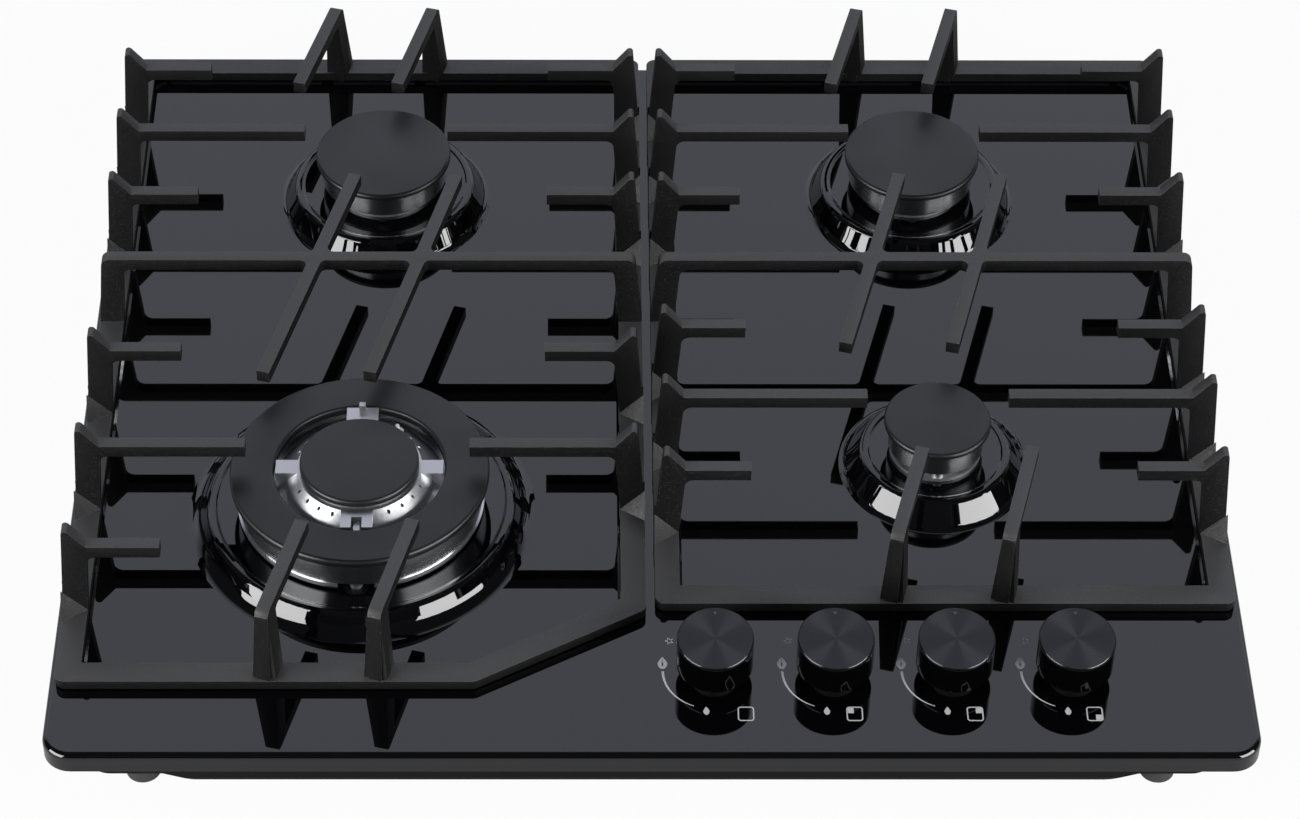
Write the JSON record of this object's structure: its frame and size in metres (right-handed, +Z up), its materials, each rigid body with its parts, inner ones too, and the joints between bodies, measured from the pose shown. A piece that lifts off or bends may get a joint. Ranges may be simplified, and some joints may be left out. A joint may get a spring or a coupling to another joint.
{
  "type": "gas cooktop",
  "caption": "Built-in gas cooktop with an enamelled panel, burners under skewed cast iron pan supports and push-and-turn knobs over a sheet steel box.",
  "frame": {"origin": "on the surface under the rubber feet, below the middle of the panel", "axes": "+X along the panel to the right, +Y to the back, +Z up"},
  "size_m": [0.58, 0.51, 0.1107],
  "materials": {
    "black_enamel": "glossy vitreous enamel",
    "cap_enamel": "matte black enamel",
    "cast_iron": "matte enamelled casting",
    "polished_aluminium": "turned and polished",
    "cast_aluminium": "fine cast",
    "brass": "machined",
    "ceramic": "white glazed ceramic with steel pin",
    "galvanised_steel": "galvanised sheet",
    "knob_plastic": "high gloss",
    "knob_disc_metal": "spun and black anodised",
    "black_rubber": "matte",
    "pipe_aluminium": "drawn tube",
    "module_plastic": "moulded"
  },
  "bodies": {
    "hob": {"top_panel": "black_enamel", "underbox": "black_enamel", "worktop_seal": "black_rubber", "rubber_feet": "black_rubber", "fixing_screws": "galvanised_steel", "spindle_collars": "black_rubber", "back_left_burner_base": "cast_aluminium", "back_right_burner_base": "cast_aluminium", "front_right_burner_base": "cast_aluminium", "wok_burner_base": "cast_aluminium", "back_left_injector": "brass", "back_right_injector": "brass", "front_right_injector": "brass", "wok_injectors": "brass", "back_left_electrode": "ceramic", "back_right_electrode": "ceramic", "front_right_electrode": "ceramic", "wok_electrode": "ceramic", "gas_valve_1": "cast_aluminium", "gas_valve_2": "cast_aluminium", "gas_valve_3": "cast_aluminium", "gas_valve_4": "cast_aluminium", "gas_rail": "galvanised_steel", "wok_pipe": "pipe_aluminium", "back_left_pipe": "pipe_aluminium", "back_right_pipe": "pipe_aluminium", "front_right_pipe": "pipe_aluminium", "supply_pipe": "pipe_aluminium", "gas_inlet": "brass", "ignition_module": "module_plastic"},
    "left_support": {"pan_support_left": "cast_iron", "support_pads_left": "black_rubber"},
    "right_support": {"pan_support_right": "cast_iron", "support_pads_right": "black_rubber"},
    "wok_head": {"wok_burner_ring": "polished_aluminium", "wok_inner_crown": "cast_aluminium"},
    "wok_ring_lid": {"wok_ring_cap": "cap_enamel"},
    "wok_inner_lid": {"wok_inner_cap": "cap_enamel"},
    "back_left_head": {"back_left_burner_head": "polished_aluminium"},
    "back_left_lid": {"back_left_burner_cap": "cap_enamel"},
    "back_right_head": {"back_right_burner_head": "polished_aluminium"},
    "back_right_lid": {"back_right_burner_cap": "cap_enamel"},
    "front_right_head": {"front_right_burner_head": "polished_aluminium"},
    "front_right_lid": {"front_right_burner_cap": "cap_enamel"},
    "tap_1": {"valve_plug_1": "brass"},
    "knob_1": {"knob_1": "knob_plastic", "knob_disc_1": "knob_disc_metal", "spindle_1": "galvanised_steel"},
    "tap_2": {"valve_plug_2": "brass"},
    "knob_2": {"knob_2": "knob_plastic", "knob_disc_2": "knob_disc_metal", "spindle_2": "galvanised_steel"},
    "tap_3": {"valve_plug_3": "brass"},
    "knob_3": {"knob_3": "knob_plastic", "knob_disc_3": "knob_disc_metal", "spindle_3": "galvanised_steel"},
    "tap_4": {"valve_plug_4": "brass"},
    "knob_4": {"knob_4": "knob_plastic", "knob_disc_4": "knob_disc_metal", "spindle_4": "galvanised_steel"}
  },
  "joints": [
    {"name": "left_support_lift", "type": "slide", "parent": "hob", "child": "left_support", "axis": [0, 0, 1], "range_m": [0, 0.12]},
    {"name": "right_support_lift", "type": "slide", "parent": "hob", "child": "right_support", "axis": [0, 0, 1], "range_m": [0, 0.12]},
    {"name": "wok_head_lift", "type": "slide", "parent": "hob", "child": "wok_head", "axis": [0, 0, 1], "range_m": [0, 0.004]},
    {"name": "wok_ring_cap_lift", "type": "slide", "parent": "wok_head", "child": "wok_ring_lid", "axis": [0, 0, 1], "range_m": [0, 0.005]},
    {"name": "wok_inner_cap_lift", "type": "slide", "parent": "wok_head", "child": "wok_inner_lid", "axis": [0, 0, 1], "range_m": [0, 0.005]},
    {"name": "back_left_head_lift", "type": "slide", "parent": "hob", "child": "back_left_head", "axis": [0, 0, 1], "range_m": [0, 0.004]},
    {"name": "back_left_cap_lift", "type": "slide", "parent": "back_left_head", "child": "back_left_lid", "axis": [0, 0, 1], "range_m": [0, 0.005]},
    {"name": "back_right_head_lift", "type": "slide", "parent": "hob", "child": "back_right_head", "axis": [0, 0, 1], "range_m": [0, 0.004]},
    {"name": "back_right_cap_lift", "type": "slide", "parent": "back_right_head", "child": "back_right_lid", "axis": [0, 0, 1], "range_m": [0, 0.005]},
    {"name": "front_right_head_lift", "type": "slide", "parent": "hob", "child": "front_right_head", "axis": [0, 0, 1], "range_m": [0, 0.004]},
    {"name": "front_right_cap_lift", "type": "slide", "parent": "front_right_head", "child": "front_right_lid", "axis": [0, 0, 1], "range_m": [0, 0.005]},
    {"name": "knob_1_turn", "type": "hinge", "parent": "hob", "child": "tap_1", "pos_m": [0.0303, -0.2034, 0.05], "axis": [0, 0, 1], "range_deg": [0, 170]},
    {"name": "knob_1_push", "type": "slide", "parent": "tap_1", "child": "knob_1", "axis": [0, 0, -1], "range_m": [0, 0.003], "stiffness_N_per_m": 1500, "springref_m": -0.002},
    {"name": "knob_2_turn", "type": "hinge", "parent": "hob", "child": "tap_2", "pos_m": [0.088, -0.2034, 0.05], "axis": [0, 0, 1], "range_deg": [0, 170]},
    {"name": "knob_2_push", "type": "slide", "parent": "tap_2", "child": "knob_2", "axis": [0, 0, -1], "range_m": [0, 0.003], "stiffness_N_per_m": 1500, "springref_m": -0.002},
    {"name": "knob_3_turn", "type": "hinge", "parent": "hob", "child": "tap_3", "pos_m": [0.1457, -0.2034, 0.05], "axis": [0, 0, 1], "range_deg": [0, 170]},
    {"name": "knob_3_push", "type": "slide", "parent": "tap_3", "child": "knob_3", "axis": [0, 0, -1], "range_m": [0, 0.003], "stiffness_N_per_m": 1500, "springref_m": -0.002},
    {"name": "knob_4_turn", "type": "hinge", "parent": "hob", "child": "tap_4", "pos_m": [0.2034, -0.2034, 0.05], "axis": [0, 0, 1], "range_deg": [0, 170]},
    {"name": "knob_4_push", "type": "slide", "parent": "tap_4", "child": "knob_4", "axis": [0, 0, -1], "range_m": [0, 0.003], "stiffness_N_per_m": 1500, "springref_m": -0.002}
  ]
}
